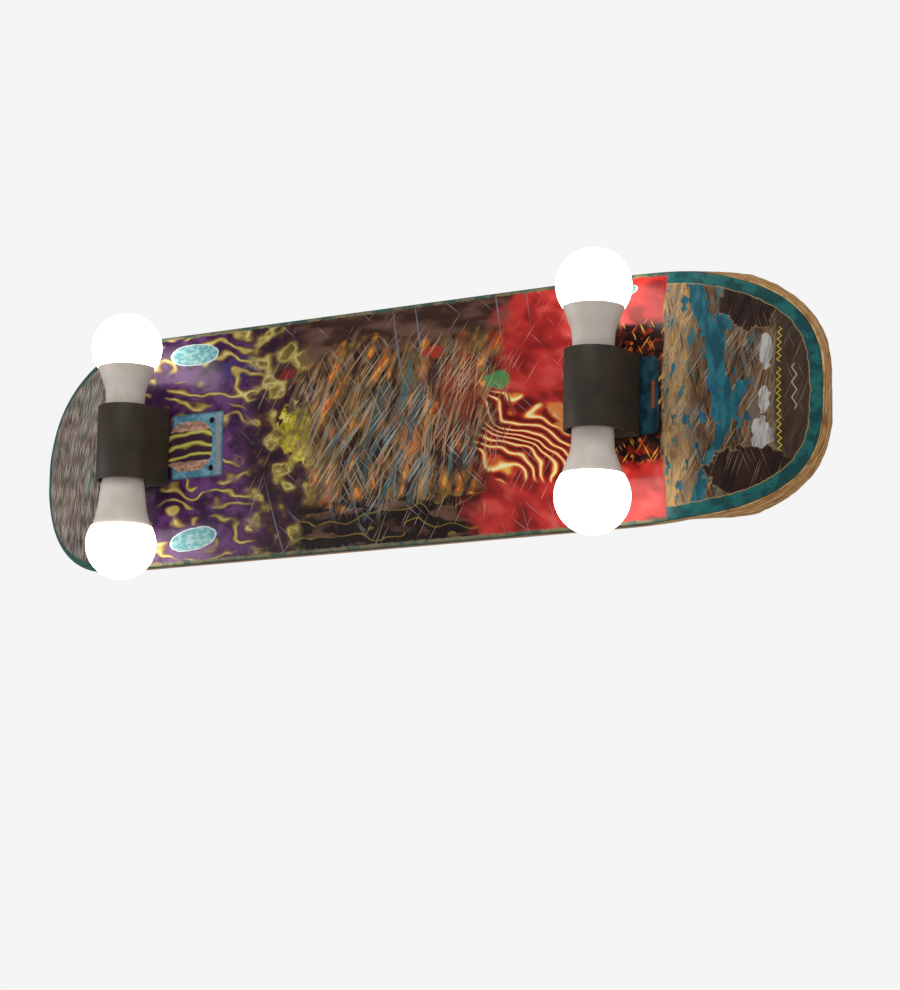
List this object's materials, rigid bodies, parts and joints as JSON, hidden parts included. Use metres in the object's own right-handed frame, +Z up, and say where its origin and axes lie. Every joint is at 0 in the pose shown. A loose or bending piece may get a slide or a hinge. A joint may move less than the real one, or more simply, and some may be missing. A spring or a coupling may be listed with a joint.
{
  "type": "skateboard deck wall light",
  "caption": "Worn skateboard deck hung on a wall as a light: two up-and-down housings in place of trucks, screw-in LED bulbs in place of wheels.",
  "frame": {"origin": "middle of the wall plate's back face, where the light meets the wall", "axes": "+X along the deck towards its tail, +Z up, +Y into the wall; the graphic face of the deck looks along -Y"},
  "size_m": [0.8002, 0.1526, 0.2304],
  "materials": {
    "maple": "bare sanded and torn maple ply",
    "graphic_ply": "gloss-coated printed ply, heavily scratched, over a teal-dyed veneer",
    "grip": "coarse black abrasive sheet",
    "bronze_paint": "matte dark bronze powder coat",
    "zinc_steel": "zinc plated, satin",
    "brass": "bright, machined",
    "nickel": "nickel-plated rolled brass",
    "porcelain": "glazed",
    "diffuser": "opal white, lit",
    "bulb_plastic": "warm off-white, fine moulded",
    "insulator": "glossy black glass-like",
    "led_board": "white solder mask on aluminium",
    "black_paint": "satin black powder coat",
    "clip_plastic": "natural nylon",
    "lead_rubber": "black PVC sheath"
  },
  "bodies": {
    "root": {"deck_core": "maple", "bottom_ply": "graphic_ply", "grip_tape": "grip", "housing_left": "bronze_paint", "socket_bracket_left": "zinc_steel", "nipple_left": "brass", "nipple_nut_left": "brass", "flange_nut_left": "brass", "lead_left": "lead_rubber", "lead_clip_left": "clip_plastic", "housing_right": "bronze_paint", "socket_bracket_right": "zinc_steel", "nipple_right": "brass", "nipple_nut_right": "brass", "flange_nut_right": "brass", "lead_right": "lead_rubber", "lead_clip_right": "clip_plastic", "wiring_box": "black_paint", "wall_plate": "zinc_steel", "terminal_block": "clip_plastic", "box_screw_left": "zinc_steel", "box_screw_right": "zinc_steel", "plate_screw_top": "black_paint", "plate_screw_bottom": "black_paint", "upper_left_socket_body": "porcelain", "upper_left_socket_shell": "nickel", "upper_left_socket_contact": "brass", "lower_left_socket_body": "porcelain", "lower_left_socket_shell": "nickel", "lower_left_socket_contact": "brass", "upper_right_socket_body": "porcelain", "upper_right_socket_shell": "nickel", "upper_right_socket_contact": "brass", "lower_right_socket_body": "porcelain", "lower_right_socket_shell": "nickel", "lower_right_socket_contact": "brass"},
    "upper_left_tip": {"upper_left_tip_contact": "nickel"},
    "upper_left_bulb": {"upper_left_screw_shell": "nickel", "upper_left_base_insulator": "insulator", "upper_left_bulb_body": "bulb_plastic", "upper_left_led_board": "led_board", "upper_left_diffuser": "diffuser"},
    "lower_left_tip": {"lower_left_tip_contact": "nickel"},
    "lower_left_bulb": {"lower_left_screw_shell": "nickel", "lower_left_base_insulator": "insulator", "lower_left_bulb_body": "bulb_plastic", "lower_left_led_board": "led_board", "lower_left_diffuser": "diffuser"},
    "upper_right_tip": {"upper_right_tip_contact": "nickel"},
    "upper_right_bulb": {"upper_right_screw_shell": "nickel", "upper_right_base_insulator": "insulator", "upper_right_bulb_body": "bulb_plastic", "upper_right_led_board": "led_board", "upper_right_diffuser": "diffuser"},
    "lower_right_tip": {"lower_right_tip_contact": "nickel"},
    "lower_right_bulb": {"lower_right_screw_shell": "nickel", "lower_right_base_insulator": "insulator", "lower_right_bulb_body": "bulb_plastic", "lower_right_led_board": "led_board", "lower_right_diffuser": "diffuser"}
  },
  "joints": [
    {"name": "upper_left_bulb_travel", "type": "slide", "parent": "root", "child": "upper_left_tip", "axis": [0, 0, 1], "range_m": [0, 0.01634]},
    {"name": "upper_left_bulb_turn", "type": "hinge", "parent": "upper_left_tip", "child": "upper_left_bulb", "pos_m": [-0.2318, -0.1227, 0.03], "axis": [0, 0, 1], "range_deg": [0, 1620]},
    {"name": "lower_left_bulb_travel", "type": "slide", "parent": "root", "child": "lower_left_tip", "axis": [0, 0, -1], "range_m": [0, 0.01634]},
    {"name": "lower_left_bulb_turn", "type": "hinge", "parent": "lower_left_tip", "child": "lower_left_bulb", "pos_m": [-0.2318, -0.1227, -0.03], "axis": [0, 0, -1], "range_deg": [0, 1620]},
    {"name": "upper_right_bulb_travel", "type": "slide", "parent": "root", "child": "upper_right_tip", "axis": [0, 0, 1], "range_m": [0, 0.01634]},
    {"name": "upper_right_bulb_turn", "type": "hinge", "parent": "upper_right_tip", "child": "upper_right_bulb", "pos_m": [0.2318, -0.1227, 0.03], "axis": [0, 0, 1], "range_deg": [0, 1620]},
    {"name": "lower_right_bulb_travel", "type": "slide", "parent": "root", "child": "lower_right_tip", "axis": [0, 0, -1], "range_m": [0, 0.01634]},
    {"name": "lower_right_bulb_turn", "type": "hinge", "parent": "lower_right_tip", "child": "lower_right_bulb", "pos_m": [0.2318, -0.1227, -0.03], "axis": [0, 0, -1], "range_deg": [0, 1620]}
  ],
  "couplings": [
    {"joint": "upper_left_bulb_travel", "follows": "upper_left_bulb_turn", "m_per_rad": 0.0005776},
    {"joint": "lower_left_bulb_travel", "follows": "lower_left_bulb_turn", "m_per_rad": 0.0005776},
    {"joint": "upper_right_bulb_travel", "follows": "upper_right_bulb_turn", "m_per_rad": 0.0005776},
    {"joint": "lower_right_bulb_travel", "follows": "lower_right_bulb_turn", "m_per_rad": 0.0005776}
  ]
}
